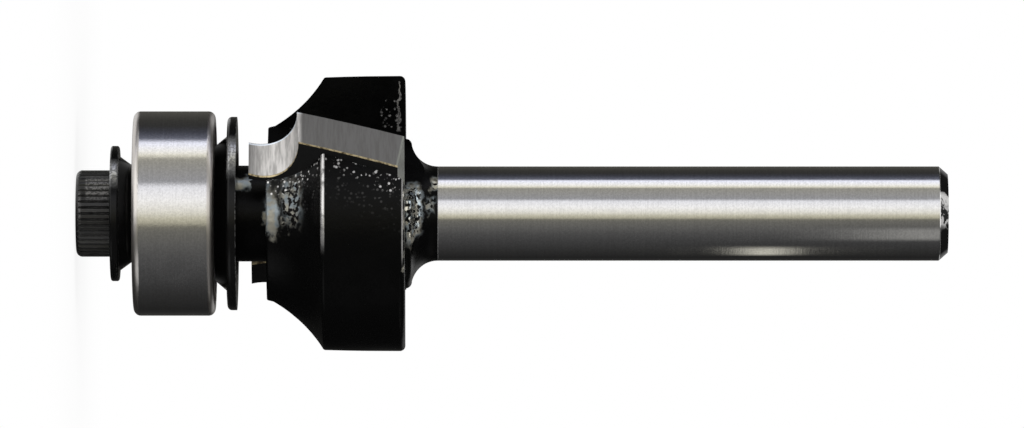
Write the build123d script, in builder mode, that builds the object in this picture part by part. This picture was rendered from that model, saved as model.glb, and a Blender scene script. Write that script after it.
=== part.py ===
from build123d import *
import os
from math import cos, sin, sqrt, tan, radians

os.makedirs("parts", exist_ok=True)

# Bearing-guided rounding-over router bit, standing on the head of its clamp screw.
# The axis is Z, the shank points up and the origin is the middle of the screw head's end.

# Clamp screw, a knurled M3 socket head cap screw
screw_diameter = 3.0
screw_length = 8.0
head_diameter = 5.5
head_height = 3.0
head_rounding = 0.4
hex_across_flats = 2.5
hex_depth = 1.4
knurl_count = 44
knurl_depth = 0.11
screw_tip_chamfer = 0.3

# Cup washer under the screw head
cup_bore_clearance = 0.15
cup_floor = 0.65
cup_depth = 0.8
cup_head_clearance = 0.1
cup_flange_diameter = 8.6
cup_flange_thickness = 0.55
cup_cone_diameter = 7.3
cup_seat_diameter = 6.0
cup_edge_rounding = 0.15

# Guide bearing
bearing_bore = 4.0
bearing_diameter = 13.0
bearing_width = 5.2
inner_ring_diameter = 7.0
outer_ring_bore = 10.2
outer_ring_rounding = 0.45
inner_ring_rounding = 0.15
ball_diameter = 2.38
ball_count = 7
race_clearance = 0.08
cage_band = 0.8
cage_back = 0.35
cage_lip = 0.45
shield_seat_diameter = 11.2
shield_thickness = 0.3
shield_recess = 0.3
shield_gap = 0.2

# Dished washer between the bearing and the cutter
dish_floor = 0.6
dish_wall = 0.6
dish_depth = 1.37
dish_seat_diameter = 8.6
dish_cone_diameter = 9.9
dish_flange_diameter = 12.3
dish_flange_thickness = 0.6
dish_edge_rounding = 0.28

# Cutter body and shank
fit_clearance = 0.02
stub_setback = 0.25
stub_chamfer = 0.2
tapped_depth = 7.6
drill_point_angle = 118.0
neck_diameter = 6.1
neck_length = 2.7
body_length = 8.77
body_diameter = 17.5
nose_diameter = 12.0
nose_arc_length = 3.6
nose_arc_radius = 6.5
body_edge_rounding = 0.2
back_edge_rounding = 0.35
rim_margin = 0.01
collar_diameter = 9.6
collar_rounding = 0.42
shoulder_fillet = 1.65
shank_diameter = 6.0
overall_length = 55.4
shank_chamfer_length = 0.57
shank_chamfer_depth = 0.5

# Flutes, measured in the plane of the body's front face
flute_count = 2
rake_direction = 56.0
skew_angle = 15.0
rake_offset = 1.68
gullet_floor = 3.2
gullet_floor_end = 5.37
gullet_wall_angle = 23.0
gullet_root_fillet = 1.0
gullet_wall_fillet = 0.4

# Brazed cutting tips
cove_radius = 3.0
cutting_diameter = bearing_diameter + 2 * cove_radius
tip_thickness = 1.6
tip_overhang = 1.1
tip_lead = 0.09
tip_inner_edge = 4.9
tip_relief_front = 0.53
tip_relief_back = 0.24
tip_relief_axial = 0.1
braze_thickness = 0.12

# Places along the axis
bearing_front = head_height + cup_floor
bearing_middle = bearing_front + bearing_width / 2
bearing_back = bearing_front + bearing_width
cup_front = head_height - cup_depth
cup_flange_back = cup_front + cup_flange_thickness
neck_seat = bearing_back + dish_floor
dish_back = bearing_back + dish_depth
dish_flange_front = dish_back - dish_flange_thickness
stub_end = bearing_front + stub_setback
body_front = neck_seat + neck_length
nose_end = body_front + nose_arc_length
body_back = body_front + body_length
shoulder_end = body_back + collar_rounding + shoulder_fillet
tip_front = body_front - tip_overhang

# Radii and directions that several pieces share
shank_radius = shank_diameter / 2
neck_radius = neck_diameter / 2
body_radius = body_diameter / 2
collar_radius = collar_diameter / 2
stub_radius = bearing_bore / 2 - fit_clearance
thread_radius = screw_diameter / 2 + fit_clearance
head_radius = head_diameter / 2
pitch_radius = (inner_ring_diameter + outer_ring_bore) / 4
race_radius = ball_diameter / 2 + race_clearance
skew = radians(skew_angle)
radial = Vector(-sin(radians(rake_direction)), -cos(radians(rake_direction)), 0)
facing = Vector(-cos(radians(rake_direction)), sin(radians(rake_direction)), 0)
upward = Vector(0, 0, 1)
along_flute = upward * cos(skew) - facing * sin(skew)
flute_section = Plane(origin=(0, 0, body_front), x_dir=radial, z_dir=upward)
flute_reach = cutting_diameter
flute_run = (body_length + shoulder_fillet + collar_rounding) / cos(skew)
rake_plane = Plane(
    origin=upward * body_front - facing * rake_offset,
    x_dir=radial,
    z_dir=facing * cos(skew) + upward * sin(skew),
)


def on_tip(depth, height, radius):
    """Point of a plane at a depth behind the rake face, at a height and a radius of the bit."""
    behind = rake_offset + (height - body_front) * tan(skew) + depth / cos(skew)
    return (sqrt(radius**2 - behind**2), (height - body_front + depth * sin(skew)) / cos(skew))


def tip_outline(depth, relief_front, relief_back, axial, back):
    """Outline of a cutting tip at a depth: nose land, cove, outer land, end and seated edge."""
    cove_start = tip_front + tip_lead + axial
    cove_end = cove_start + cove_radius
    outer = cutting_diameter / 2 - relief_front
    outer_back = cutting_diameter / 2 - relief_back
    half = cove_radius * sin(radians(45))
    front_point = on_tip(depth, tip_front, outer - cove_radius)
    cove_point = on_tip(depth, cove_start, outer - cove_radius)
    bend_point = on_tip(depth, cove_start + half, outer - half)
    corner_point = on_tip(depth, cove_end, outer)
    side_point = on_tip(depth, (cove_end + back) / 2, (outer + outer_back) / 2)
    end_point = on_tip(depth, back, outer_back)
    Line(front_point, cove_point)
    ThreePointArc(cove_point, bend_point, corner_point)
    ThreePointArc(corner_point, side_point, end_point)
    Polyline(
        end_point,
        (tip_inner_edge, end_point[1]),
        (tip_inner_edge, front_point[1]),
        front_point,
    )


# One gullet, run along the skew of the flute
with BuildPart() as gullet_shape:
    with BuildSketch(flute_section) as gullet_sketch:
        with BuildLine():
            Polyline(
                (gullet_floor, rake_offset),
                (flute_reach, rake_offset),
                (
                    flute_reach,
                    -gullet_floor_end - (flute_reach - gullet_floor) * tan(radians(gullet_wall_angle)),
                ),
                (gullet_floor, -gullet_floor_end),
                close=True,
            )
        make_face()
        floor_corners = gullet_sketch.vertices().group_by(Axis.X)[0].sort_by(Axis.Y)
        fillet(floor_corners[-1], radius=gullet_root_fillet)
        fillet(floor_corners[0], radius=gullet_wall_fillet)
    extrude(amount=flute_run, dir=along_flute, both=True)

# One tip pocket, as deep as the tip and its film of braze
with BuildPart() as pocket_shape:
    with BuildSketch(flute_section):
        with Locations((tip_inner_edge - braze_thickness, rake_offset)):
            Rectangle(
                flute_reach,
                (tip_thickness + braze_thickness) / cos(skew),
                align=(Align.MIN, Align.MIN),
            )
    extrude(amount=flute_run, dir=along_flute, both=True)

# Cutter body: pilot stub, neck, fluted head, collar and shank, turned from one bar
with BuildPart() as cutter_body:
    with BuildSketch(Plane.XZ):
        with BuildLine():
            Polyline(
                (0, stub_end),
                (stub_radius - stub_chamfer, stub_end),
                (stub_radius, stub_end + stub_chamfer),
                (stub_radius, neck_seat),
                (neck_radius, neck_seat),
                (neck_radius, body_front),
                (nose_diameter / 2, body_front),
            )
            RadiusArc((nose_diameter / 2, body_front), (body_radius, nose_end), nose_arc_radius)
            Polyline(
                (body_radius, nose_end),
                (body_radius, body_back - back_edge_rounding),
            )
            RadiusArc(
                (body_radius, body_back - back_edge_rounding),
                (body_radius - back_edge_rounding, body_back),
                -back_edge_rounding,
            )
            Line((body_radius - back_edge_rounding, body_back), (collar_radius, body_back))
            RadiusArc(
                (collar_radius, body_back),
                (collar_radius - collar_rounding, body_back + collar_rounding),
                -collar_rounding,
            )
            RadiusArc(
                (collar_radius - collar_rounding, body_back + collar_rounding),
                (shank_radius, shoulder_end),
                shoulder_fillet,
            )
            Polyline(
                (shank_radius, shoulder_end),
                (shank_radius, overall_length - shank_chamfer_length),
                (shank_radius - shank_chamfer_depth, overall_length),
                (0, overall_length),
                (0, stub_end),
            )
        make_face()
    revolve(axis=Axis.Z)
    nose_rims = cutter_body.edges().filter_by(GeomType.CIRCLE).filter_by_position(
        Axis.Z, body_front - rim_margin, nose_end + rim_margin
    )
    outer_nose_rims = nose_rims.filter_by(lambda e: e.radius > neck_radius + rim_margin)
    fillet(outer_nose_rims, radius=body_edge_rounding)
    with BuildSketch(Plane.XZ):
        with BuildLine():
            Polyline(
                (0, stub_end),
                (thread_radius, stub_end),
                (thread_radius, stub_end + tapped_depth),
                (
                    0,
                    stub_end + tapped_depth + thread_radius / tan(radians(drill_point_angle / 2)),
                ),
                close=True,
            )
        make_face()
    revolve(axis=Axis.Z, mode=Mode.SUBTRACT)
    with PolarLocations(0, flute_count):
        add(gullet_shape.part, mode=Mode.SUBTRACT)
        add(pocket_shape.part, mode=Mode.SUBTRACT)
cutter_body.part.label = "cutter_body"
export_step(cutter_body.part, "parts/cutter_body.step")

# First cutting tip: the ground lands fall away from the rake face to the heel
heel_back = body_back - tip_thickness * sin(skew)
with BuildPart() as carbide_tip_a:
    with BuildSketch(rake_plane):
        with BuildLine():
            tip_outline(0, 0, 0, 0, body_back)
        make_face()
    with BuildSketch(rake_plane.offset(-tip_thickness)):
        with BuildLine():
            tip_outline(tip_thickness, tip_relief_front, tip_relief_back, tip_relief_axial, heel_back)
        make_face()
    loft(ruled=True)
carbide_tip_a.part.label = "carbide_tip_a"
export_step(carbide_tip_a.part, "parts/carbide_tip_a.step")

# Second cutting tip, half a turn away
with BuildPart() as carbide_tip_b:
    with Locations(Rotation(0, 0, 360 / flute_count)):
        add(carbide_tip_a.part)
carbide_tip_b.part.label = "carbide_tip_b"
export_step(carbide_tip_b.part, "parts/carbide_tip_b.step")

# First film of braze, an L behind the tip and under its seated edge, ground off level with the tip's heel
heel_radius = cutting_diameter / 2 - tip_relief_front
heel_radius_back = cutting_diameter / 2 - tip_relief_back
heel_cove_start = tip_front + tip_lead + tip_relief_axial
with BuildPart() as braze_film_a:
    with BuildSketch(flute_section):
        with Locations((tip_inner_edge - braze_thickness, rake_offset)):
            Rectangle(
                flute_reach,
                (tip_thickness + braze_thickness) / cos(skew),
                align=(Align.MIN, Align.MIN),
            )
        with Locations((tip_inner_edge, rake_offset)):
            Rectangle(
                flute_reach,
                tip_thickness / cos(skew),
                align=(Align.MIN, Align.MIN),
                mode=Mode.SUBTRACT,
            )
    extrude(amount=flute_run, dir=along_flute, both=True)
    with BuildSketch(Plane.XZ):
        with BuildLine():
            Polyline(
                (0, heel_back),
                (0, tip_front),
                (heel_radius - cove_radius, tip_front),
                (heel_radius - cove_radius, heel_cove_start),
            )
            RadiusArc(
                (heel_radius - cove_radius, heel_cove_start),
                (heel_radius, heel_cove_start + cove_radius),
                cove_radius,
            )
            Polyline(
                (heel_radius, heel_cove_start + cove_radius),
                (heel_radius_back, heel_back),
                (0, heel_back),
            )
        make_face()
    revolve(axis=Axis.Z, mode=Mode.INTERSECT)
braze_film_a.part.label = "braze_film_a"
export_step(braze_film_a.part, "parts/braze_film_a.step")

# Second film of braze, half a turn away
with BuildPart() as braze_film_b:
    with Locations(Rotation(0, 0, 360 / flute_count)):
        add(braze_film_a.part)
braze_film_b.part.label = "braze_film_b"
export_step(braze_film_b.part, "parts/braze_film_b.step")

# Dished washer: its floor clamps the inner ring, its flange shields the bearing from chips
with BuildPart() as dust_shield:
    with BuildSketch(Plane.XZ) as dish_sketch:
        with BuildLine():
            Polyline(
                (bearing_bore / 2 + fit_clearance, bearing_back),
                (dish_seat_diameter / 2, bearing_back),
                (dish_cone_diameter / 2, dish_flange_front),
                (dish_flange_diameter / 2, dish_flange_front),
                (dish_flange_diameter / 2, dish_back),
                (dish_cone_diameter / 2 - dish_wall, dish_back),
                (dish_seat_diameter / 2 - dish_wall, neck_seat),
                (bearing_bore / 2 + fit_clearance, neck_seat),
                close=True,
            )
        make_face()
        rim_corners = dish_sketch.vertices().group_by(Axis.X)[-1]
        fillet(rim_corners.sort_by(Axis.Y)[0], radius=dish_edge_rounding)
    revolve(axis=Axis.Z)
dust_shield.part.label = "dust_shield"
export_step(dust_shield.part, "parts/dust_shield.step")

# Inner ring of the bearing, with the ball groove round its outside
with BuildPart() as bearing_inner_ring:
    with BuildSketch(Plane.XY.offset(bearing_front)):
        Circle(inner_ring_diameter / 2)
        Circle(bearing_bore / 2, mode=Mode.SUBTRACT)
    extrude(amount=bearing_width)
    fillet(bearing_inner_ring.edges().filter_by(GeomType.CIRCLE), radius=inner_ring_rounding)
    with BuildSketch(Plane.XZ):
        with Locations((pitch_radius, bearing_middle)):
            Circle(race_radius)
    revolve(axis=Axis.Z, mode=Mode.SUBTRACT)
bearing_inner_ring.part.label = "bearing_inner_ring"
export_step(bearing_inner_ring.part, "parts/bearing_inner_ring.step")

# Outer ring of the bearing, with a seat for a shield at each end
shield_step = shield_recess + shield_thickness
with BuildPart() as bearing_outer_ring:
    with BuildSketch(Plane.XY.offset(bearing_front)):
        Circle(bearing_diameter / 2)
        Circle(outer_ring_bore / 2, mode=Mode.SUBTRACT)
    extrude(amount=bearing_width)
    outer_rims = bearing_outer_ring.edges().filter_by(GeomType.CIRCLE)
    fillet(outer_rims.filter_by(lambda e: e.radius > shield_seat_diameter / 2), radius=outer_ring_rounding)
    with BuildSketch(Plane.XY.offset(bearing_front), Plane.XY.offset(bearing_back - shield_step)):
        Circle(shield_seat_diameter / 2)
    extrude(amount=shield_step, mode=Mode.SUBTRACT)
    with BuildSketch(Plane.XZ):
        with Locations((pitch_radius, bearing_middle)):
            Circle(race_radius)
    revolve(axis=Axis.Z, mode=Mode.SUBTRACT)
bearing_outer_ring.part.label = "bearing_outer_ring"
export_step(bearing_outer_ring.part, "parts/bearing_outer_ring.step")

# Balls between the rings
with BuildPart() as bearing_balls:
    with Locations((0, 0, bearing_middle)):
        with PolarLocations(pitch_radius, ball_count):
            Sphere(ball_diameter / 2)
bearing_balls.part.label = "bearing_balls"
export_step(bearing_balls.part, "parts/bearing_balls.step")

# Crown cage: a band with a pocket for each ball, closed behind the balls and open in front
with BuildPart() as ball_cage:
    with BuildSketch(Plane.XY.offset(bearing_middle - cage_lip)):
        Circle(pitch_radius + cage_band / 2)
        Circle(pitch_radius - cage_band / 2, mode=Mode.SUBTRACT)
    extrude(amount=cage_lip + race_radius + cage_back)
    with Locations((0, 0, bearing_middle)):
        with PolarLocations(pitch_radius, ball_count):
            Sphere(race_radius, mode=Mode.SUBTRACT)
ball_cage.part.label = "ball_cage"
export_step(ball_cage.part, "parts/ball_cage.step")

# Shield pressed into each end of the outer ring, clear of the inner ring
with BuildPart() as bearing_shield_front:
    with BuildSketch(Plane.XY.offset(bearing_front + shield_recess)):
        Circle(shield_seat_diameter / 2)
        Circle(inner_ring_diameter / 2 + shield_gap, mode=Mode.SUBTRACT)
    extrude(amount=shield_thickness)
bearing_shield_front.part.label = "bearing_shield_front"
export_step(bearing_shield_front.part, "parts/bearing_shield_front.step")

with BuildPart() as bearing_shield_rear:
    with BuildSketch(Plane.XY.offset(bearing_back - shield_step)):
        Circle(shield_seat_diameter / 2)
        Circle(inner_ring_diameter / 2 + shield_gap, mode=Mode.SUBTRACT)
    extrude(amount=shield_thickness)
bearing_shield_rear.part.label = "bearing_shield_rear"
export_step(bearing_shield_rear.part, "parts/bearing_shield_rear.step")

# Cup washer: the screw head sinks into it, and its narrow end clamps the inner ring
with BuildPart() as cup_washer:
    with BuildSketch(Plane.XZ) as cup_sketch:
        with BuildLine():
            Polyline(
                (screw_diameter / 2 + cup_bore_clearance, head_height),
                (head_radius + cup_head_clearance, head_height),
                (head_radius + cup_head_clearance, cup_front),
                (cup_flange_diameter / 2, cup_front),
                (cup_flange_diameter / 2, cup_flange_back),
                (cup_cone_diameter / 2, cup_flange_back),
                (cup_seat_diameter / 2, bearing_front),
                (screw_diameter / 2 + cup_bore_clearance, bearing_front),
                close=True,
            )
        make_face()
        fillet(cup_sketch.vertices().group_by(Axis.X)[-1], radius=cup_edge_rounding)
    revolve(axis=Axis.Z)
cup_washer.part.label = "cup_washer"
export_step(cup_washer.part, "parts/cup_washer.step")

# Clamp screw: knurled head with a hex socket, and a plain shank at the size of its thread
with BuildPart() as cap_screw:
    with BuildSketch():
        Circle(head_radius)
        with PolarLocations(head_radius, knurl_count):
            Rectangle(knurl_depth * sqrt(2), knurl_depth * sqrt(2), rotation=45, mode=Mode.SUBTRACT)
    extrude(amount=head_height)
    with BuildSketch(Plane.XZ):
        with BuildLine():
            Polyline(
                (0, head_height),
                (0, 0),
                (head_radius - head_rounding, 0),
            )
            RadiusArc((head_radius - head_rounding, 0), (head_radius, head_rounding), -head_rounding)
            Polyline(
                (head_radius, head_rounding),
                (head_radius, head_height),
                (0, head_height),
            )
        make_face()
    revolve(axis=Axis.Z, mode=Mode.INTERSECT)
    with BuildSketch():
        RegularPolygon(hex_across_flats / 2, 6, major_radius=False)
    extrude(amount=hex_depth, mode=Mode.SUBTRACT)
    with BuildSketch(Plane.XY.offset(head_height)):
        Circle(screw_diameter / 2)
    extrude(amount=screw_length)
    chamfer(cap_screw.edges().group_by(Axis.Z)[-1], length=screw_tip_chamfer)
cap_screw.part.label = "cap_screw"
export_step(cap_screw.part, "parts/cap_screw.step")
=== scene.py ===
import bpy
from math import cos, pi, radians, sin
from mathutils import Matrix, Vector


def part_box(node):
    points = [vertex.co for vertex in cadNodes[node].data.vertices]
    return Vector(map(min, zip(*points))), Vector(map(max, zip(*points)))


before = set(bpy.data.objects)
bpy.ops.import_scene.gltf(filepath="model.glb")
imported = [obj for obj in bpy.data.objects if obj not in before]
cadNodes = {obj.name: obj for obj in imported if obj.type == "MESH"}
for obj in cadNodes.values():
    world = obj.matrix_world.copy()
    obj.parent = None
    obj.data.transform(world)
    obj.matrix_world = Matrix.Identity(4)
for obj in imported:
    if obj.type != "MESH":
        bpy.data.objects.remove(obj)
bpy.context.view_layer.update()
print("frame loaded,", len(cadNodes), "nodes")

millimetre = 0.001


# Short ways to put nodes in a tree and to set or link their sockets
def addNode(tree, kind, sockets=None, **settings):
    node = tree.nodes.new(kind)
    for name, value in settings.items():
        setattr(node, name, value)
    for name, value in (sockets or {}).items():
        if isinstance(value, bpy.types.NodeSocket):
            tree.links.new(value, node.inputs[name])
        else:
            node.inputs[name].default_value = value
    return node


def calc(tree, operation, *values, clamp=False):
    return addNode(
        tree, "ShaderNodeMath", dict(enumerate(values)), operation=operation, use_clamp=clamp
    ).outputs[0]


def calcVector(tree, operation, *values):
    node = addNode(tree, "ShaderNodeVectorMath", dict(enumerate(values)), operation=operation)
    return node.outputs["Value" if operation == "DOT_PRODUCT" else "Vector"]


def ramp(tree, value, low, high, bottom=0.0, top=1.0):
    sockets = {"Value": value, "From Min": low, "From Max": high, "To Min": bottom, "To Max": top}
    return addNode(tree, "ShaderNodeMapRange", sockets, interpolation_type="SMOOTHSTEP").outputs["Result"]


def mixColor(tree, factor, first, second):
    node = addNode(tree, "ShaderNodeMix", data_type="RGBA")
    for socket, value in ((node.inputs[0], factor), (node.inputs[6], first), (node.inputs[7], second)):
        if isinstance(value, bpy.types.NodeSocket):
            tree.links.new(value, socket)
        else:
            socket.default_value = value
    return node.outputs[2]


def mixValue(tree, factor, first, second):
    return addNode(tree, "ShaderNodeMix", {0: factor, 2: first, 3: second}, data_type="FLOAT").outputs[0]


def band(tree, value, low, high, soft):
    # 1 between two values, with soft sides
    rise = ramp(tree, value, low - soft, low + soft)
    return calc(tree, "MULTIPLY", rise, ramp(tree, value, high + soft, high - soft))


def grey(level, warmth=0.0):
    return (level * (1 + warmth), level, level * (1 - warmth), 1)


# An effect that several finishes share is a node group with named inputs and outputs
def startGroup(name, inputs, outputs):
    tree = bpy.data.node_groups.new(name, "ShaderNodeTree")
    for socketName, kind, value in inputs:
        socket = tree.interface.new_socket(socketName, in_out="INPUT", socket_type="NodeSocket" + kind)
        if value is not None:
            socket.default_value = value
    for socketName in outputs:
        tree.interface.new_socket(socketName, in_out="OUTPUT", socket_type="NodeSocketFloat")
    given = tree.nodes.new("NodeGroupInput").outputs
    result = tree.nodes.new("NodeGroupOutput").inputs
    return tree, given, result


def makeBitAxes():
    tree, given, result = startGroup("bitAxes", [("Vector", "Vector", None)], ["Radius", "Height", "Turn"])
    scaled = calcVector(tree, "MULTIPLY", given["Vector"], (1000, 1000, 1000))  # in millimetres
    parts = addNode(tree, "ShaderNodeSeparateXYZ", {"Vector": scaled}).outputs
    squares = calc(tree, "ADD", calc(tree, "POWER", parts["X"], 2), calc(tree, "POWER", parts["Y"], 2))
    tree.links.new(calc(tree, "SQRT", squares), result["Radius"])
    tree.links.new(parts["Z"], result["Height"])
    aside = calc(tree, "MULTIPLY", parts["X"], -1)
    ahead = calc(tree, "MULTIPLY", parts["Y"], -1)
    tree.links.new(calc(tree, "ARCTAN2", aside, ahead), result["Turn"])  # from -Y towards -X
    return tree


def makeTurnedLines():
    # Fine lines that a grinding wheel or a lathe leaves round the axis
    tree, given, result = startGroup(
        "turnedLines",
        [("Vector", "Vector", None), ("Spacing", "Float", 0.1), ("Waver", "Float", 0.02)],
        ["Lines"],
    )
    density = calc(tree, "DIVIDE", 1000, given["Spacing"])
    aside = calc(tree, "MULTIPLY", density, given["Waver"])
    stretch = addNode(tree, "ShaderNodeCombineXYZ", {"X": aside, "Y": aside, "Z": density}).outputs[0]
    place = calcVector(tree, "MULTIPLY", given["Vector"], stretch)
    noise = addNode(tree, "ShaderNodeTexNoise", {"Vector": place, "Scale": 1, "Detail": 3, "Roughness": 0.65})
    tree.links.new(noise.outputs["Fac"], result["Lines"])
    return tree


def makeEdgeWear():
    # Edges where the finish is rubbed: the rounded normal leaves the true one there
    tree, given, result = startGroup(
        "edgeWear",
        [("Vector", "Vector", None), ("Width", "Float", 0.1), ("Breakup", "Float", 0.5)],
        ["Wear"],
    )
    width = calc(tree, "MULTIPLY", given["Width"], millimetre)
    rounded = addNode(tree, "ShaderNodeBevel", {"Radius": width}, samples=8).outputs["Normal"]
    true = addNode(tree, "ShaderNodeNewGeometry").outputs["Normal"]
    turn = calc(tree, "SUBTRACT", 1, calcVector(tree, "DOT_PRODUCT", rounded, true))
    edge = ramp(tree, turn, 0.01, 0.12)
    noise = addNode(
        tree, "ShaderNodeTexNoise", {"Vector": given["Vector"], "Scale": 2600, "Detail": 4, "Roughness": 0.7}
    ).outputs["Fac"]
    kept = ramp(tree, noise, calc(tree, "MULTIPLY", given["Breakup"], 0.62), 0.62)
    tree.links.new(calc(tree, "MULTIPLY", edge, kept, clamp=True), result["Wear"])
    return tree


def makeCoatGrain():
    # The skin of a baked black coat: a fine orange peel, with coarse wrinkles and pits round the brazed tips
    tree, given, result = startGroup(
        "coatGrain",
        [("Vector", "Vector", None), ("Grain", "Float", 0.2), ("Crust", "Float", 0.0)],
        ["Peel", "Pits", "Dots"],
    )
    density = calc(tree, "DIVIDE", 1000, given["Grain"])
    fine = addNode(
        tree,
        "ShaderNodeTexNoise",
        {"Vector": given["Vector"], "Scale": density, "Detail": 2, "Roughness": 0.5},
    ).outputs["Fac"]
    coarse = addNode(
        tree,
        "ShaderNodeTexNoise",
        {
            "Vector": given["Vector"],
            "Scale": calc(tree, "MULTIPLY", density, 0.6),
            "Detail": 2,
            "Roughness": 0.45,
            "Distortion": 0.5,
        },
    ).outputs["Fac"]
    holes = addNode(
        tree,
        "ShaderNodeTexNoise",
        {
            "Vector": given["Vector"],
            "Scale": calc(tree, "MULTIPLY", density, 0.85),
            "Detail": 1,
            "Distortion": 0.3,
        },
    ).outputs["Fac"]
    cells = addNode(
        tree,
        "ShaderNodeTexVoronoi",
        {"Vector": given["Vector"], "Scale": calc(tree, "MULTIPLY", density, 1.1)},
    ).outputs
    crust = calc(tree, "MULTIPLY", calc(tree, "MULTIPLY", coarse, 2.4), given["Crust"])
    tree.links.new(calc(tree, "MULTIPLY_ADD", fine, 0.35, crust), result["Peel"])
    tree.links.new(ramp(tree, holes, 0.54, 0.44), result["Pits"])
    chance = addNode(tree, "ShaderNodeSeparateColor", {"Color": cells["Color"]}).outputs[0]
    dots = calc(tree, "MULTIPLY", ramp(tree, cells["Distance"], 0.46, 0.2), ramp(tree, chance, 0.2, 0.7))
    tree.links.new(calc(tree, "MULTIPLY", dots, ramp(tree, holes, 0.4, 0.55)), result["Dots"])
    return tree


def makeSmudge():
    # Slow changes of gloss, as handling and oil leave them
    tree, given, result = startGroup(
        "smudge", [("Vector", "Vector", None), ("Size", "Float", 3.0)], ["Smudge"]
    )
    density = calc(tree, "DIVIDE", 1000, given["Size"])
    noise = addNode(
        tree,
        "ShaderNodeTexNoise",
        {"Vector": given["Vector"], "Scale": density, "Detail": 4, "Roughness": 0.6},
    ).outputs["Fac"]
    tree.links.new(ramp(tree, noise, 0.32, 0.68), result["Smudge"])
    return tree


def makeBehindRake(tips):
    # How far a point lies behind the nearest tip's rake face, in millimetres
    tree, given, result = startGroup("behindRake", [("Vector", "Vector", None)], ["Depth"])
    radial = Vector((-sin(tips["rakeDirection"]), -cos(tips["rakeDirection"]), 0))
    facing = Vector((-cos(tips["rakeDirection"]), sin(tips["rakeDirection"]), 0))
    normal = facing * cos(tips["skew"]) + Vector((0, 0, 1)) * sin(tips["skew"])
    origin = Vector((0, 0, tips["bodyFront"])) - facing * tips["rakeOffset"]
    depths = []
    for turn in (0, pi):
        turned = addNode(
            tree,
            "ShaderNodeMapping",
            {"Vector": given["Vector"], "Rotation": (0, 0, turn), "Scale": (1000, 1000, 1000)},
            vector_type="POINT",
        ).outputs[0]
        ahead = calcVector(tree, "DOT_PRODUCT", turned, tuple(normal))
        depth = calc(tree, "SUBTRACT", normal.dot(origin), ahead)
        side = calcVector(tree, "DOT_PRODUCT", turned, tuple(radial))
        faraway = calc(tree, "MULTIPLY", calc(tree, "LESS_THAN", side, 0.5), 100)
        before = calc(tree, "MULTIPLY", calc(tree, "LESS_THAN", depth, -0.05), 100)
        outside = calc(tree, "MAXIMUM", faraway, before)
        depths.append(calc(tree, "ADD", calc(tree, "ABSOLUTE", depth), outside))
    tree.links.new(calc(tree, "MINIMUM", *depths), result["Depth"])
    return tree


# The tips' planes as the CAD has them, in millimetres
tips = {
    "rakeDirection": radians(56),
    "skew": radians(15),
    "rakeOffset": 1.68,
    "bodyFront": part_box("carbide_tip_a")[0].z * 1000 + 1.1,  # the tips reach 1.1 mm ahead of the body
}
bitAxes = makeBitAxes()
turnedLines = makeTurnedLines()
edgeWear = makeEdgeWear()
coatGrain = makeCoatGrain()
smudge = makeSmudge()
behindRake = makeBehindRake(tips)
print("shared effects made")


def useGroup(tree, group, **sockets):
    node = addNode(tree, "ShaderNodeGroup", node_tree=group)
    for name, value in sockets.items():
        if isinstance(value, bpy.types.NodeSocket):
            tree.links.new(value, node.inputs[name])
        else:
            node.inputs[name].default_value = value
    return node.outputs


def startMaterial(name):
    material = bpy.data.materials.new(name)
    material.use_nodes = True
    tree = material.node_tree
    shader = tree.nodes["Principled BSDF"]
    where = addNode(tree, "ShaderNodeTexCoord").outputs["Object"]
    return material, tree, shader, where


def setShader(tree, shader, **sockets):
    names = {"color": "Base Color", "metallic": "Metallic", "roughness": "Roughness", "normal": "Normal"}
    for key, value in sockets.items():
        socket = shader.inputs[names[key]]
        if isinstance(value, bpy.types.NodeSocket):
            tree.links.new(value, socket)
        else:
            socket.default_value = value


def bump(tree, height, depth, under=None):
    sockets = {"Height": height, "Strength": 1.0, "Distance": depth * millimetre}
    if under is not None:
        sockets["Normal"] = under
    return addNode(tree, "ShaderNodeBump", sockets).outputs["Normal"]


groundSteel = {
    "color": 0.72,
    "warmth": 0.012,
    "roughness": 0.1,
    "spread": 0.04,
    "lines": 0.09,
    "depth": 0.0007,
    "speckle": 0.0009,
}
bearingSteel = {
    "color": 0.72,
    "warmth": 0.015,
    "roughness": 0.11,
    "spread": 0.04,
    "lines": 0.07,
    "depth": 0.0007,
    "speckle": 0.002,
    "rims": {"roughness": 0.34, "color": grey(0.62, 0.05), "reach": (0.36, 0.5)},  # millimetres from each end
}
stampedSteel = {
    "color": 0.5,
    "warmth": 0.01,
    "roughness": 0.33,
    "spread": 0.1,
    "lines": 0.16,
    "depth": 0.002,
    "speckle": 0.002,
}


def steelNodes(tree, where, finish):
    lines = useGroup(tree, turnedLines, Vector=where, Spacing=finish["lines"])["Lines"]
    gloss = useGroup(tree, smudge, Vector=where)["Smudge"]
    grain = addNode(
        tree, "ShaderNodeTexNoise", {"Vector": where, "Scale": 7500, "Detail": 2, "Roughness": 0.7}
    ).outputs["Fac"]
    streaks = calc(tree, "MULTIPLY_ADD", grain, 0.65, calc(tree, "MULTIPLY", lines, 0.35))
    tone = mixColor(
        tree,
        ramp(tree, streaks, 0.35, 0.65),
        grey(finish["color"] * 0.9, finish["warmth"]),
        grey(finish["color"] * 1.08, finish["warmth"]),
    )
    low = finish["roughness"] - finish["spread"] / 2
    roughness = mixValue(tree, gloss, low, low + finish["spread"])
    normal = bump(tree, lines, finish["depth"])
    if finish["speckle"]:
        normal = bump(tree, grain, finish["speckle"], under=normal)
    return tone, roughness, normal


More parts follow.
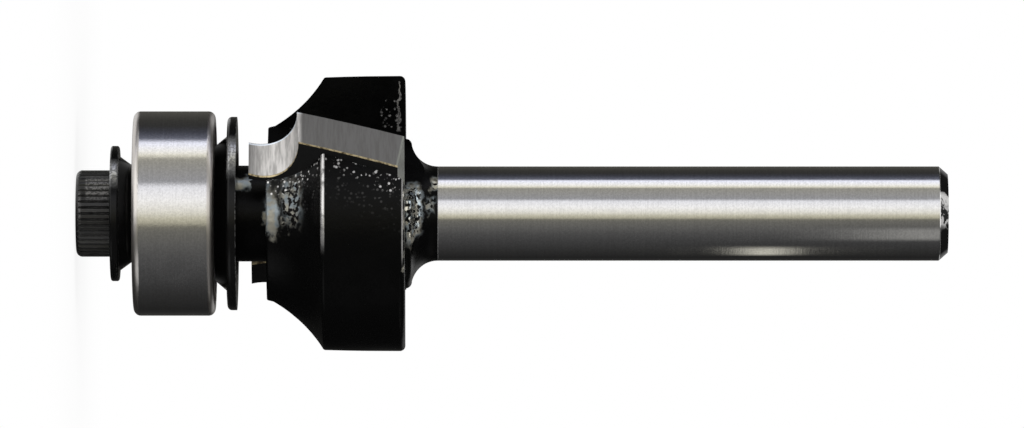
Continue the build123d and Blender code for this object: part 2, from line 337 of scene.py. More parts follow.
def makeSteel(name, finish):
    material, tree, shader, where = startMaterial(name)
    tone, roughness, normal = steelNodes(tree, where, finish)
    if "rims" in finish:
        rims = finish["rims"]
        height = useGroup(tree, bitAxes, Vector=where)["Height"]
        low, high = (corner.z * 1000 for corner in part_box("bearing_outer_ring"))
        full, end = rims["reach"]
        front = ramp(tree, height, low + end, low + full)
        back = ramp(tree, height, high - end, high - full)
        rim = calc(tree, "MAXIMUM", front, back)
        roughness = mixValue(tree, rim, roughness, rims["roughness"])
        tone = mixColor(tree, rim, tone, rims["color"])
    wear = useGroup(tree, edgeWear, Vector=where, Width=0.08, Breakup=0.3)["Wear"]
    color = mixColor(tree, wear, tone, grey(0.8))
    setShader(tree, shader, color=color, metallic=1.0, roughness=roughness, normal=normal)
    return material


# Patches are given by height in millimetres and by turn in degrees from the front. Each is four numbers: where
# the patch starts, where it is full, where it begins to fade and where it ends.
blackCoat = {
    "color": grey(0.0017),
    # the cool and warm tints of the painted highlights
    "sheenCool": (0.56, 0.64, 0.68, 1),
    "sheenWarm": (0.74, 0.71, 0.6, 1),
    # colour of worn marks and of the painted highlights
    "brightMark": grey(0.62, 0.02),
    "specular": 0.09,
    "roughness": 0.28,
    "spread": 0.12,
    "sheenRoughness": 0.17,
    "grain": 0.26,
    "peel": 0.03,
    "coatEnd": 23.0,  # the shank is bare from here
    "endChamfer": 0.5,  # the chamfer at the shank's end is coloured black
    "endBlack": grey(0.006),
    # the painted highlight on the chamfer: its turns, its streaks and its share
    "endGlintTurn": (12, 17, 24, 28),
    "endGlintStreaks": (-22, -14, 12, 20),
    "endGlintShare": 0.65,
    "ragged": {"scale": 1700, "height": 0.9, "turn": 30},  # how far noise shifts the patches' edges
    # the patches are painted highlights at fixed turns where the soft boxes are mirrored, and their crust
    # wrinkles the coat
    "patches": [
        {"height": (11.8, 12.1, 12.7, 13.05), "turn": (-15, -7, 0, 24), "strength": 0.46, "crust": 0.2},
        {"height": (13.0, 13.4, 14.0, 14.6), "turn": (-9, 2, 10, 24), "strength": 0.37, "crust": 0.9},
        {"height": (20.85, 21.15, 21.6, 22.1), "turn": (-28, -12, 18, 38), "strength": 1.0, "crust": 0.8},
        {"height": (22.1, 22.4, 22.6, 22.9), "turn": (-4, 4, 13, 21), "strength": 0.3, "crust": 0.7},
        {"height": (22.5, 22.8, 23.0, 23.1), "turn": (26, 35, 44, 53), "strength": 0.6, "crust": 0.5},
        {"height": (10.1, 10.2, 11.05, 11.15), "turn": (24, 35, 40, 53), "strength": 0.5, "crust": 0.05},
    ],
    # painted highlight lines along the nose's and the back's rims, at fixed turns
    "rims": [
        {"height": (15.61, 15.69, 15.83, 15.91), "turn": (-18, -2, 60, 64), "strength": 1.0},
        {"height": (20.72, 20.76, 20.8, 20.84), "turn": (-24, -12, 10, 20), "strength": 0.6},
    ],
    # a painted highlight line and painted glints on the gullet's wall
    "wallSheen": {  # on the gullet's wall
        "radius": (5.2, 5.6, 8.35, 8.45),
        "turn": (55, 60, 125, 130),
        "line": (20.45, 20.5, 20.55, 20.6),
        "marks": (19.3, 19.8, 20.4, 20.6),
        "marksRadius": (5.3, 5.6, 6.9, 7.4),
    },
    "headRadius": (5.2, 5.6),  # the fluted head lies outside this
    "rimRadius": (8.2, 8.35),  # and its rims outside this
    "dotRow": (1.7, 2.5),  # how far behind a tip's rake face the row of bright dots lies
    "crustReach": (1.9, 4.2),  # full and none, measured the same way
    "crust": 0.22,
}


def trapezoid(tree, value, start, full, last, end):
    return calc(tree, "MULTIPLY", ramp(tree, value, start, full), ramp(tree, value, end, last))


def addPatches(tree, axes, turn, patches, key):
    total = 0.0
    for patch in patches:
        along = trapezoid(tree, axes["Height"], *patch["height"])
        place = calc(tree, "MULTIPLY", along, trapezoid(tree, turn, *patch["turn"]))
        total = calc(tree, "MAXIMUM", total, calc(tree, "MULTIPLY", place, patch[key]))
    return total


def coatNodes(tree, where, finish, crust):
    grain = useGroup(tree, coatGrain, Vector=where, Grain=finish["grain"], Crust=crust)
    gloss = useGroup(tree, smudge, Vector=where, Size=2.0)["Smudge"]
    low = finish["roughness"] - finish["spread"] / 2
    roughness = mixValue(tree, gloss, low, low + finish["spread"])
    normal = bump(tree, grain["Peel"], finish["peel"])
    return grain, roughness, normal


def wallSheen(tree, axes, turn, waves, dots):
    # A painted highlight: a wavy bright line down the gullet wall's back edge, and a few painted glints beside
    # it
    wear = blackCoat["wallSheen"]
    across = trapezoid(tree, axes["Radius"], *wear["radius"])
    onWall = calc(tree, "MULTIPLY", across, trapezoid(tree, turn, *wear["turn"]))
    line = trapezoid(tree, axes["Height"], *wear["line"])
    line = calc(tree, "MULTIPLY", line, ramp(tree, waves, 0.36, 0.44))
    beside = calc(
        tree,
        "MULTIPLY",
        trapezoid(tree, axes["Height"], *wear["marks"]),
        trapezoid(tree, axes["Radius"], *wear["marksRadius"]),
    )
    return calc(tree, "MULTIPLY", onWall, calc(tree, "MAXIMUM", line, calc(tree, "MULTIPLY", beside, dots)))


def endBlack(tree, axes, turn, pits):
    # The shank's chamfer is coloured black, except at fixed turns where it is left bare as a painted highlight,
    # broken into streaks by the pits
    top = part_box("cutter_body")[1].z * 1000
    start = top - blackCoat["endChamfer"]
    onEnd = trapezoid(tree, axes["Height"], start - 0.04, start - 0.01, top - 0.01, top)
    glintStreaks = calc(
        tree,
        "MULTIPLY",
        trapezoid(tree, turn, *blackCoat["endGlintStreaks"]),
        calc(tree, "SUBTRACT", 0.75, pits, clamp=True),
    )
    paintedGlint = calc(tree, "MAXIMUM", trapezoid(tree, turn, *blackCoat["endGlintTurn"]), glintStreaks)
    kept = calc(tree, "SUBTRACT", 1, calc(tree, "MULTIPLY", paintedGlint, blackCoat["endGlintShare"]))
    return calc(tree, "MULTIPLY", onEnd, kept)


def makeBodyFinish(name):
    # The coat is painted bright in patches on the nose, the neck and the shoulder, as painted highlights where
    # the soft boxes are mirrored, and wrinkled round the brazed tips
    material, tree, shader, where = startMaterial(name)
    axes = useGroup(tree, bitAxes, Vector=where)
    turn = calc(tree, "MULTIPLY", axes["Turn"], 180 / pi)
    depth = useGroup(tree, behindRake, Vector=where)["Depth"]
    onHead = ramp(tree, axes["Radius"], *blackCoat["headRadius"])
    near, far = blackCoat["crustReach"]
    crust = calc(tree, "MULTIPLY", ramp(tree, depth, far, near), blackCoat["crust"])
    around = calc(tree, "MULTIPLY", crust, onHead)

    ragged = blackCoat["ragged"]
    noise = addNode(tree, "ShaderNodeTexNoise", {"Vector": where, "Scale": ragged["scale"], "Detail": 3})
    waves = noise.outputs["Fac"]
    shift = calc(tree, "SUBTRACT", waves, 0.5)
    raggedHeight = calc(tree, "MULTIPLY_ADD", shift, ragged["height"], axes["Height"])
    raggedAxes = {"Height": raggedHeight, "Radius": axes["Radius"]}
    raggedTurn = calc(tree, "MULTIPLY_ADD", shift, ragged["turn"], turn)
    patchCrust = addPatches(tree, raggedAxes, raggedTurn, blackCoat["patches"], "crust")
    allCrust = calc(tree, "MAXIMUM", around, patchCrust)
    grain, coatRoughness, coatNormal = coatNodes(tree, where, blackCoat, allCrust)

    # Bright marks: worn edges and bare dots behind each tip, painted highlight lines on the rims, and a painted
    # highlight with painted glints on the gullet wall
    wear = useGroup(tree, edgeWear, Vector=where, Width=0.05, Breakup=0.95)["Wear"]
    broken = ramp(tree, waves, 0.3, 0.5, 0.35, 1.0)
    onRim = calc(tree, "MULTIPLY", ramp(tree, axes["Radius"], *blackCoat["rimRadius"]), broken)
    # painted highlight lines on the rims
    outside = calc(tree, "MULTIPLY", onRim, addPatches(tree, axes, turn, blackCoat["rims"], "strength"))
    row = calc(tree, "MULTIPLY", band(tree, depth, *blackCoat["dotRow"], 0.12), onHead)
    strewn = calc(tree, "MAXIMUM", row, calc(tree, "MULTIPLY", around, 0.5))
    dots = calc(tree, "MULTIPLY", grain["Dots"], strewn)
    # the gullet wall's painted highlight and painted glints
    onWall = wallSheen(tree, raggedAxes, turn, waves, grain["Dots"])
    marks = calc(tree, "MAXIMUM", calc(tree, "MULTIPLY", wear, 0.4), onWall)
    bright = calc(tree, "MAXIMUM", calc(tree, "MAXIMUM", marks, dots), outside)

    # Painted highlights in patches, tinted cool and warm, with pits that stay black
    pits = calc(tree, "MULTIPLY", grain["Pits"], ramp(tree, patchCrust, 0.1, 0.5))
    patched = addPatches(tree, raggedAxes, raggedTurn, blackCoat["patches"], "strength")
    sheen = calc(tree, "MULTIPLY", patched, calc(tree, "SUBTRACT", 1, pits))
    sheenTint = mixColor(tree, ramp(tree, waves, 0.4, 0.6), blackCoat["sheenCool"], blackCoat["sheenWarm"])
    coatColor = mixColor(tree, sheen, blackCoat["color"], sheenTint)
    coatColor = mixColor(tree, bright, coatColor, blackCoat["brightMark"])
    sheenRoughness = mixValue(tree, sheen, coatRoughness, blackCoat["sheenRoughness"])

    # The shank is bare ground steel
    steelColor, steelRoughness, steelNormal = steelNodes(tree, where, groundSteel)
    blackened = endBlack(tree, axes, raggedTurn, grain["Pits"])
    steelColor = mixColor(tree, blackened, steelColor, blackCoat["endBlack"])
    bare = ramp(tree, axes["Height"], blackCoat["coatEnd"] - 0.03, blackCoat["coatEnd"] + 0.03)
    color = mixColor(tree, bare, coatColor, steelColor)
    bareMetal = calc(tree, "MULTIPLY", bare, calc(tree, "SUBTRACT", 1, blackened))
    metallic = calc(tree, "MAXIMUM", calc(tree, "MAXIMUM", bright, sheen), bareMetal)
    roughness = mixValue(tree, bare, sheenRoughness, steelRoughness)
    normal = addNode(tree, "ShaderNodeMix", data_type="VECTOR")
    for socket, value in ((0, bare), (4, coatNormal), (5, steelNormal)):
        tree.links.new(value, normal.inputs[socket])
    shader.inputs["Specular IOR Level"].default_value = blackCoat["specular"]
    setShader(tree, shader, color=color, metallic=metallic, roughness=roughness, normal=normal.outputs[1])
    return material


washerCoat = {
    "color": grey(0.004),
    # colour of worn edges and of the painted glint
    "brightMark": grey(0.42),
    "specular": 0.19,
    "roughness": 0.2,
    "spread": 0.08,
    "grain": 0.12,
    "peel": 0.003,
    # where the painted glint lies: its turns and its reach inside the rim
    "glintTurn": (20, 35, 43, 55),  # degrees round from the front
    "glintReach": (0.35, 0.25),  # millimetres inside the rim
}


def makeWasherFinish(name):
    # A painted glint on a stretch of the rim at fixed turns, and worn edges
    material, tree, shader, where = startMaterial(name)
    grain, roughness, normal = coatNodes(tree, where, washerCoat, 0.0)
    wear = useGroup(tree, edgeWear, Vector=where, Width=0.07, Breakup=0.7)["Wear"]
    axes = useGroup(tree, bitAxes, Vector=where)
    turn = calc(tree, "MULTIPLY", axes["Turn"], 180 / pi)
    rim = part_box(name)[1].x * 1000
    start, full = washerCoat["glintReach"]
    onRim = ramp(tree, axes["Radius"], rim - start, rim - full)
    # the painted glint on the rim
    paintedGlint = calc(tree, "MULTIPLY", onRim, trapezoid(tree, turn, *washerCoat["glintTurn"]))
    kept = calc(tree, "SUBTRACT", 1, calc(tree, "MULTIPLY", grain["Pits"], 0.5))
    bright = calc(tree, "MAXIMUM", calc(tree, "MULTIPLY", wear, 0.6), calc(tree, "MULTIPLY", paintedGlint, kept))
    color = mixColor(tree, bright, washerCoat["color"], washerCoat["brightMark"])
    shader.inputs["Specular IOR Level"].default_value = washerCoat["specular"]
    setShader(tree, shader, color=color, metallic=bright, roughness=roughness, normal=normal)
    return material


carbide = {
    "metallic": 0.65,
    "land": 0.18,
    "coveFront": 0.3,  # painted shade: the cove is darker at its front and brighter towards its end
    "cove": 0.6,
    "coveBack": 0.9,
    "coveSteps": ((10.9, 11.9), (12.6, 13.8)),
    "warmth": 0.03,
    "roughness": 0.36,
    "lines": 0.24,
    "depth": 0.006,
    "scratch": grey(0.1, 0.03),
    # the colour of the painted highlight along the cutting edge
    "edge": (0.78, 0.84, 0.92, 1),
    # the colour of a painted highlight along the tip's end, standing for a lit end chamfer
    "endSheenTone": (0.36, 0.38, 0.33, 1),
    "coat": grey(0.004),
    "coveEnd": 14.45,
    "end": 20.9,
}


def makeCarbide(name):
    # Ground lands are bare, and the rake face kept the black coat
    material, tree, shader, where = startMaterial(name)
    axes = useGroup(tree, bitAxes, Vector=where)
    depth = useGroup(tree, behindRake, Vector=where)["Depth"]
    lines = useGroup(tree, turnedLines, Vector=where, Spacing=carbide["lines"], Waver=0.13)["Lines"]
    streaks = ramp(tree, lines, 0.35, 0.65)
    land = ramp(tree, axes["Height"], carbide["coveEnd"] - 0.35, carbide["coveEnd"] + 0.1)
    # painted shade along the cove, darker at its front
    front, middle, back = (grey(carbide[key], carbide["warmth"]) for key in ("coveFront", "cove", "coveBack"))
    firstStep, secondStep = (ramp(tree, axes["Height"], *step) for step in carbide["coveSteps"])
    cove = mixColor(tree, firstStep, front, mixColor(tree, secondStep, middle, back))
    level = mixColor(tree, land, cove, grey(carbide["land"], carbide["warmth"] / 2))
    tone = mixColor(tree, mixValue(tree, streaks, 0.0, 0.5), level, carbide["scratch"])
    # a painted highlight along the tip's end, standing for a lit end chamfer
    along = calc(tree, "MULTIPLY_ADD", depth, sin(tips["skew"]), axes["Height"])
    endSheenLine = calc(tree, "MULTIPLY", ramp(tree, along, carbide["end"] - 0.12, carbide["end"] - 0.06), 0.5)
    tone = mixColor(tree, endSheenLine, tone, carbide["endSheenTone"])
    # a painted highlight along the cutting edge
    edge = calc(tree, "MULTIPLY", ramp(tree, depth, 0.12, 0.05), calc(tree, "SUBTRACT", 1, land))
    tone = mixColor(tree, edge, tone, carbide["edge"])
    wear = useGroup(tree, edgeWear, Vector=where, Width=0.03, Breakup=0.6)["Wear"]
    tone = mixColor(tree, calc(tree, "MULTIPLY", wear, 0.3), tone, grey(0.75))
    rake = calc(tree, "LESS_THAN", depth, 0.02)
    color = mixColor(tree, rake, tone, carbide["coat"])
    metallic = mixValue(tree, rake, carbide["metallic"], 0.0)
    roughness = mixValue(tree, streaks, carbide["roughness"] - 0.05, carbide["roughness"] + 0.05)
    normal = bump(tree, lines, carbide["depth"])
    shader.inputs["Specular IOR Level"].default_value = blackCoat["specular"]
    setShader(tree, shader, color=color, metallic=metallic, roughness=roughness, normal=normal)
    return material


braze = {
    "color": (0.6, 0.5, 0.3, 1),
    "dark": (0.1, 0.075, 0.04, 1),
    "brightMark": (0.75, 0.66, 0.45, 1),
    "coat": grey(0.004),
    "filmBack": 1.7,  # the coat covers the film from this depth on
    "roughness": 0.36,
    "grain": 0.15,
    "depth": 0.006,
}


def makeBraze(name):
    # The film's ground edge shows the alloy, and its back is coated with the body
    material, tree, shader, where = startMaterial(name)
    depth = useGroup(tree, behindRake, Vector=where)["Depth"]
    bare = ramp(tree, depth, braze["filmBack"], braze["filmBack"] - 0.01)
    grain = useGroup(tree, coatGrain, Vector=where, Grain=braze["grain"], Crust=0.4)["Peel"]
    alloy = mixColor(tree, ramp(tree, grain, 0.42, 0.78), braze["dark"], braze["color"])
    wear = useGroup(tree, edgeWear, Vector=where, Width=0.03, Breakup=0.6)["Wear"]
    alloy = mixColor(tree, calc(tree, "MULTIPLY", wear, 0.3), alloy, braze["brightMark"])
    color = mixColor(tree, bare, braze["coat"], alloy)
    roughness = mixValue(tree, grain, braze["roughness"] - 0.06, braze["roughness"] + 0.08)
    normal = bump(tree, grain, braze["depth"])
    shader.inputs["Specular IOR Level"].default_value = blackCoat["specular"]
    setShader(tree, shader, color=color, metallic=bare, roughness=roughness, normal=normal)
    return material


screwOxide = {
    "color": grey(0.012, 0.03),
    # colour of worn edges and of the painted glints
    "brightMark": grey(0.42, 0.02),
    "roughness": 0.38,
    "spread": 0.14,
    "grain": 0.1,
    "peel": 0.003,
    "knurlTop": 2.7,
    # painted glints on the knurl's tops
    "glintPatches": [
        {"height": (0.55, 0.7, 2.1, 2.15), "turn": (14, 26, 50, 64), "strength": 0.55},
        {"height": (0.16, 0.22, 0.3, 0.42), "turn": (-22, -8, 24, 40), "strength": 0.3},
    ],
}


def makeScrewFinish(name):
    # Painted glints on the knurl's tops at fixed turns, and worn edges
    material, tree, shader, where = startMaterial(name)
    grain, roughness, normal = coatNodes(tree, where, screwOxide, 0.0)
    axes = useGroup(tree, bitAxes, Vector=where)
    turn = calc(tree, "MULTIPLY", axes["Turn"], 180 / pi)
    wear = useGroup(tree, edgeWear, Vector=where, Width=0.05, Breakup=0.6)["Wear"]
    # the painted glints, at fixed turns
    paintedGlint = addPatches(tree, axes, turn, screwOxide["glintPatches"], "strength")
    tops = ramp(tree, axes["Radius"], screwOxide["knurlTop"] - 0.03, screwOxide["knurlTop"] + 0.01)
    broken = calc(tree, "SUBTRACT", 1, calc(tree, "MULTIPLY", grain["Pits"], 0.8))
    bright = calc(tree, "MULTIPLY", calc(tree, "MULTIPLY", paintedGlint, tops), broken)
    bright = calc(tree, "MAXIMUM", bright, calc(tree, "MULTIPLY", wear, 0.5))
    color = mixColor(tree, bright, screwOxide["color"], screwOxide["brightMark"])
    setShader(tree, shader, color=color, metallic=bright, roughness=roughness, normal=normal)
    return material


cagePlastic = {
    "color": (0.5, 0.42, 0.26, 1),
    "pale": (0.62, 0.54, 0.36, 1),
    "roughness": 0.45,
    "depth": 0.004,
}


def makeCagePlastic(name):
    material, tree, shader, where = startMaterial(name)
    flow = useGroup(tree, smudge, Vector=where, Size=1.2)["Smudge"]
    wear = useGroup(tree, edgeWear, Vector=where, Width=0.06, Breakup=0.5)["Wear"]
    color = mixColor(tree, calc(tree, "MAXIMUM", flow, wear), cagePlastic["color"], cagePlastic["pale"])
    roughness = mixValue(tree, flow, cagePlastic["roughness"] - 0.06, cagePlastic["roughness"] + 0.06)
    normal = bump(tree, flow, cagePlastic["depth"])
    setShader(tree, shader, color=color, roughness=roughness, normal=normal)
    return material


ballSteel = {
    "color": 0.82,
    "warmth": 0.0,
    "roughness": 0.07,
    "spread": 0.04,
    "lines": 0.3,
    "depth": 0.0003,
    "speckle": 0.0,
}


def dressNodes():
    bearingFinish = makeSteel("bearingSteel", bearingSteel)
    shieldFinish = makeSteel("shieldSteel", stampedSteel)
    tipFinish = makeCarbide("groundCarbide")
    brazeFinish = makeBraze("brazeFilm")
    finishes = {
        "cutter_body": makeBodyFinish("blackCoatAndShank"),
        "carbide_tip_a": tipFinish,
        "carbide_tip_b": tipFinish,
        "braze_film_a": brazeFinish,
        "braze_film_b": brazeFinish,
        "dust_shield": makeWasherFinish("dust_shield"),
        "cup_washer": makeWasherFinish("cup_washer"),
        "bearing_inner_ring": bearingFinish,
        "bearing_outer_ring": bearingFinish,
        "bearing_balls": makeSteel("ballSteel", ballSteel),
        "ball_cage": makeCagePlastic("cagePlastic"),
        "bearing_shield_front": shieldFinish,
        "bearing_shield_rear": shieldFinish,
        "cap_screw": makeScrewFinish("screwOxide"),
    }
    for name, material in finishes.items():
        mesh = cadNodes[name].data
        mesh.materials.clear()
        mesh.materials.append(material)


dressNodes()
print("finishes set on the CAD nodes")


# The photograph looks along +Y with the bit lying on its side, so the camera is rolled
view = {"distance": 0.82, "width": 0.06513, "centre": Vector((0.00003, 0, 0.0277)), "sensor": 36}


def addCamera():
    data = bpy.data.cameras.new("camera")
    data.sensor_width = view["sensor"]
    data.lens = view["sensor"] * view["distance"] / view["width"]
    data.clip_start = 0.01
    data.clip_end = 20
    camera = bpy.data.objects.new("camera", data)
    bpy.context.scene.collection.objects.link(camera)
    across, upright, backward = Vector((0, 0, 1)), Vector((-1, 0, 0)), Vector((0, -1, 0))
    camera.matrix_world = Matrix.Translation(view["centre"] + backward * view["distance"]) @ Matrix(
        (across, upright, backward)
    ).transposed().to_4x4()
    bpy.context.scene.camera = camera


# What the metal mirrors. Round the axis, from the camera's side (0) over the bit's upper side (90), there are
# two soft boxes with a grey gap between them, and dark flags below and behind. More boxes stand off its ends.
surround = {
    "radius": 0.6,
    "middle": 0.02,
    "reach": (0.72, 0.9),  # how steep a ray may be before the boxes round the axis end
    "ends": 0.05,
    # Two off the screw's end and one off the shank's, then low and high ones behind and below the bit. Each is
    # given by the direction of its rays: up is 1 on the shank's side and -1 on the screw's, and from and to say
    # how steep a ray is where the box begins and ends. Without a to, it goes on to the axis.
    "boxes": [
        {"x": (-0.75, 0.08), "y": (-0.85, -0.2), "up": -1, "from": (0.3, 0.5), "soft": 0.1, "level": 1.5},
        {"x": (-0.75, -0.2), "y": (-0.2, 0.85), "up": -1, "from": (0.3, 0.5), "soft": 0.04, "level": 0.9},
        {"x": (-0.42, 0.28), "y": (-0.15, 0.33), "up": 1, "from": (0.3, 0.5), "soft": 0.04, "level": 1.3},
        {"x": (-0.6, -0.1), "y": (0.45, 1.3), "up": -1, "from": (0.08, 0.22), "soft": 0.15, "level": 0.9},
        {"x": (0.65, 1.3), "y": (-0.7, -0.05), "up": -1, "from": (0.08, 0.22), "soft": 0.15, "level": 0.8},
        {"x": (-1.3, -0.9), "y": (-0.3, 0.3), "up": -1, "from": (0.08, 0.22), "soft": 0.1, "level": 0.6},
        {
            "x": (-0.7, 0.5),
            "y": (0.6, 1.3),
            "up": 1,
            "from": (0.14, 0.3),
            "to": 0.45,
            "soft": 0.15,
            "level": 0.5,
        },
        {
            "x": (0.6, 1.3),
            "y": (-0.6, 0.3),
            "up": 1,
            "from": (0.14, 0.3),
            "to": 0.45,
            "soft": 0.15,
            "level": 0.25,
        },
    ],
    "bands": [  # angle, level, warmth: each box is cool along its upper edge and warm along its lower one
        (-180, 0.065, 0.05),
        (-150, 0.025, 0.0),
        (-137, 0.02, 0.0),
        (-107, 0.033, 0.0),
        (-85, 0.05, -0.01),
        (-67, 0.067, -0.01),
        (-50, 0.092, 0.0),
        (-35, 0.135, 0.02),
        (-20, 0.175, 0.06),
        (-14.5, 0.2, 0.1),
        (-11, 0.47, 0.14),
        (-5, 0.66, 0.13),
        (2, 0.94, 0.06),
        (15, 1.16, 0.0),
        (30, 1.04, -0.04),
        (35.5, 0.39, -0.04),
        (64.5, 0.37, 0.08),
        (68.5, 0.95, 0.1),
        (74, 1.18, 0.02),
        (87, 1.18, -0.1),
        (92, 0.16, -0.2),
        (104, 0.062, -0.18),
        (116, 0.04, 0.0),
        (130, 0.048, 0.04),
        (150, 0.075, 0.06),
        (165, 0.085, 0.06),
    ],
}


def tinted(level, warmth):
    return (level * (1 + 0.3 * warmth), level, level * (1 - 1.6 * warmth), 1)


def deselectAll():
    bpy.ops.object.select_all(action="DESELECT")


def startGlow(name):
    material = bpy.data.materials.new(name)
    material.use_nodes = True
    material.node_tree.nodes.clear()
    return material, material.node_tree


def makeSurroundFinish():
    material, tree = startGlow("surround")
    where = addNode(tree, "ShaderNodeTexCoord").outputs["Object"]
    ray = calcVector(tree, "NORMALIZE", calcVector(tree, "SUBTRACT", where, (0, 0, surround["middle"])))
    parts = addNode(tree, "ShaderNodeSeparateXYZ", {"Vector": ray}).outputs
    turn = calc(
        tree, "ARCTAN2", calc(tree, "MULTIPLY", parts["X"], -1), calc(tree, "MULTIPLY", parts["Y"], -1)
    )
    share = calc(tree, "MULTIPLY_ADD", turn, 1 / (2 * pi), 0.5)
    bands = addNode(tree, "ShaderNodeValToRGB", {"Fac": share})
    stops = bands.color_ramp.elements
    while len(stops) > 1:
        stops.remove(stops[-1])
    stops[0].position = 0
    stops[0].color = tinted(surround["bands"][0][1] / 2, surround["bands"][0][2])
    for angle, level, warmth in surround["bands"][1:]:
        stops.new(angle / 360 + 0.5).color = tinted(level / 2, warmth)
    low, high = surround["reach"]
    steep = ramp(tree, calc(tree, "ABSOLUTE", parts["Z"]), low, high)
    light = mixColor(tree, steep, bands.outputs["Color"], grey(surround["ends"] / 2))
    for box in surround["boxes"]:
        inside = calc(
            tree,
            "MULTIPLY",
            band(tree, parts["X"], *box["x"], box["soft"]),
            band(tree, parts["Y"], *box["y"], box["soft"]),
        )
        rise = calc(tree, "MULTIPLY", parts["Z"], box["up"])
        facing = ramp(tree, rise, *box["from"])
        if "to" in box:
            facing = calc(tree, "MULTIPLY", facing, ramp(tree, rise, box["to"] + 0.1, box["to"]))
        light = mixColor(tree, calc(tree, "MULTIPLY", inside, facing), light, grey(box["level"] / 2))
    # The levels are halved above, so that no colour passes 1, and doubled here
    glow = addNode(tree, "ShaderNodeEmission", {"Color": light, "Strength": 2.0}).outputs[0]
    tree.links.new(glow, addNode(tree, "ShaderNodeOutputMaterial").inputs["Surface"])
    return material


def hideFromCamera(piece):
    piece.visible_camera = False
    piece.visible_diffuse = False
    piece.visible_shadow = False
    piece.visible_transmission = False


# Small bounce cards close below the shank's end, with soft edges: turn, spread and soft are in degrees, away
# is in metres, and the heights and their fade are in millimetres
bounceCards = {
    "bounceCardEnd": {
        "turn": -52,
        "spread": 44,
        "soft": 7,
        "away": 0.12,
        "from": 49.0,
        "to": 81.0,
        "fade": 4.0,
        "level": 0.31,
        "warmth": 0.02,
    },
    "bounceCardLow": {
        "turn": -106,
        "spread": 46,
        "soft": 8,
        "away": 0.1,
        "from": 42.8,
        "to": 48.6,
        "fade": 1.3,
        "level": 0.75,
        "warmth": 0.08,
    },
}


def makeCardFinish(name, card):
    material, tree = startGlow(name)
    axes = useGroup(tree, bitAxes, Vector=addNode(tree, "ShaderNodeTexCoord").outputs["Object"])
    turn = calc(tree, "MULTIPLY", axes["Turn"], 180 / pi)
    half = card["spread"] / 2 - card["soft"]
    inside = calc(
        tree,
        "MULTIPLY",
        band(tree, turn, card["turn"] - half, card["turn"] + half, card["soft"]),
        band(tree, axes["Height"], card["from"] + card["fade"], card["to"] - card["fade"], card["fade"]),
    )
    clear = addNode(tree, "ShaderNodeBsdfTransparent").outputs[0]
    light = {"Color": tinted(1.0, card["warmth"]), "Strength": card["level"]}
    glow = addNode(tree, "ShaderNodeEmission", light).outputs[0]
    mixed = addNode(tree, "ShaderNodeMixShader", {0: inside, 1: clear, 2: glow}).outputs[0]
    tree.links.new(mixed, addNode(tree, "ShaderNodeOutputMaterial").inputs["Surface"])
    return material


def addBounceCards():
    for name, card in bounceCards.items():
        angle = radians(card["turn"])
        outward = Vector((-sin(angle), -cos(angle), 0))
        middle = (card["from"] + card["to"]) / 2 * millimetre
        place = outward * card["away"] + Vector((0, 0, middle))
        facing = outward.to_track_quat("Z", "Y").to_euler()
        deselectAll()
        bpy.ops.mesh.primitive_plane_add(size=1, location=place, rotation=facing)
        piece = bpy.context.object
        piece.name = name
        piece.scale = (radians(card["spread"]) * card["away"], (card["to"] - card["from"]) * millimetre, 1)
        bpy.ops.object.transform_apply(location=True, rotation=True, scale=True)
        piece.data.materials.append(makeCardFinish(name, card))
        hideFromCamera(piece)


def addSurround():
    deselectAll()
    bpy.ops.mesh.primitive_uv_sphere_add(
        segments=96, ring_count=48, radius=surround["radius"], location=(0, 0, surround["middle"])
    )
    wall = bpy.context.object
    wall.name = "surround"
    bpy.ops.object.transform_apply(location=True)
    wall.data.materials.append(makeSurroundFinish())
    hideFromCamera(wall)


studio = {
    "floorSize": 60.0,
    "floorKeep": 0.12,  # share of the floor's own shading, which holds the shadow
    "shadowReach": (0.015, 0.06),
    "worldFill": 0.62,
    "keySize": 0.5,
    "keyPower": 3.2,
    "keyPlace": Vector((-0.03, -0.43, 0.75)),
}


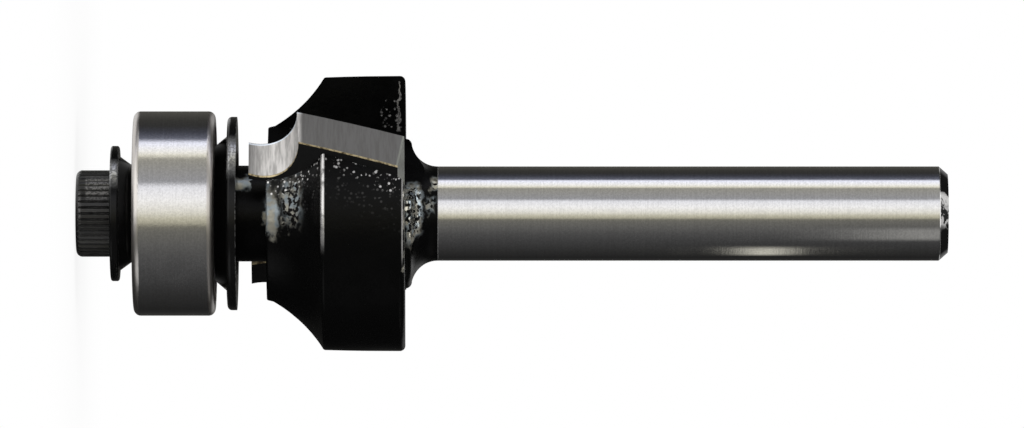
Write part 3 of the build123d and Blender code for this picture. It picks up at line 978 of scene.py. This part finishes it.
def seenDirectly(tree):
    # 1 for rays from the camera and for mirrored and passed ones
    path = addNode(tree, "ShaderNodeLightPath").outputs
    glossy = calc(tree, "MAXIMUM", path["Is Camera Ray"], path["Is Glossy Ray"])
    return calc(tree, "MAXIMUM", glossy, path["Is Transmission Ray"])


def addFloor():
    deselectAll()
    bpy.ops.mesh.primitive_plane_add(size=studio["floorSize"], location=(0, 0, 0))
    floor = bpy.context.object
    floor.name = "floor"
    material, tree = startGlow("floor")
    plain = addNode(tree, "ShaderNodeBsdfDiffuse", {"Color": grey(0.96)}).outputs[0]
    glow = addNode(tree, "ShaderNodeEmission", {"Color": grey(1.0), "Strength": 1.0}).outputs[0]
    where = addNode(tree, "ShaderNodeTexCoord").outputs["Object"]
    away = calc(tree, "MULTIPLY", useGroup(tree, bitAxes, Vector=where)["Radius"], millimetre)
    near, far = studio["shadowReach"]
    kept = ramp(tree, away, near, far, studio["floorKeep"], 0.0)
    share = calc(tree, "MULTIPLY", seenDirectly(tree), calc(tree, "SUBTRACT", 1, kept))
    mixed = addNode(tree, "ShaderNodeMixShader", {0: share, 1: plain, 2: glow})
    output = addNode(tree, "ShaderNodeOutputMaterial")
    tree.links.new(mixed.outputs[0], output.inputs["Surface"])
    floor.data.materials.append(material)
    floor.visible_glossy = False  # the metal mirrors the soft box off this end instead


def addWorld():
    world = bpy.data.worlds.new("studio")
    bpy.context.scene.world = world
    world.use_nodes = True
    tree = world.node_tree
    strength = mixValue(tree, seenDirectly(tree), studio["worldFill"], 1.0)
    background = tree.nodes["Background"]
    background.inputs["Color"].default_value = grey(1.0)
    tree.links.new(strength, background.inputs["Strength"])


def addKeyLight():
    data = bpy.data.lights.new("key", "AREA")
    data.size = studio["keySize"]
    data.energy = studio["keyPower"]
    light = bpy.data.objects.new("key", data)
    bpy.context.scene.collection.objects.link(light)
    light.location = studio["keyPlace"]
    light.rotation_euler = (view["centre"] - studio["keyPlace"]).to_track_quat("-Z", "Y").to_euler()
    light.visible_glossy = False


addCamera()
addSurround()
addBounceCards()
addFloor()
addWorld()
addKeyLight()
bpy.context.scene.view_settings.view_transform = "Standard"
print("studio ready")
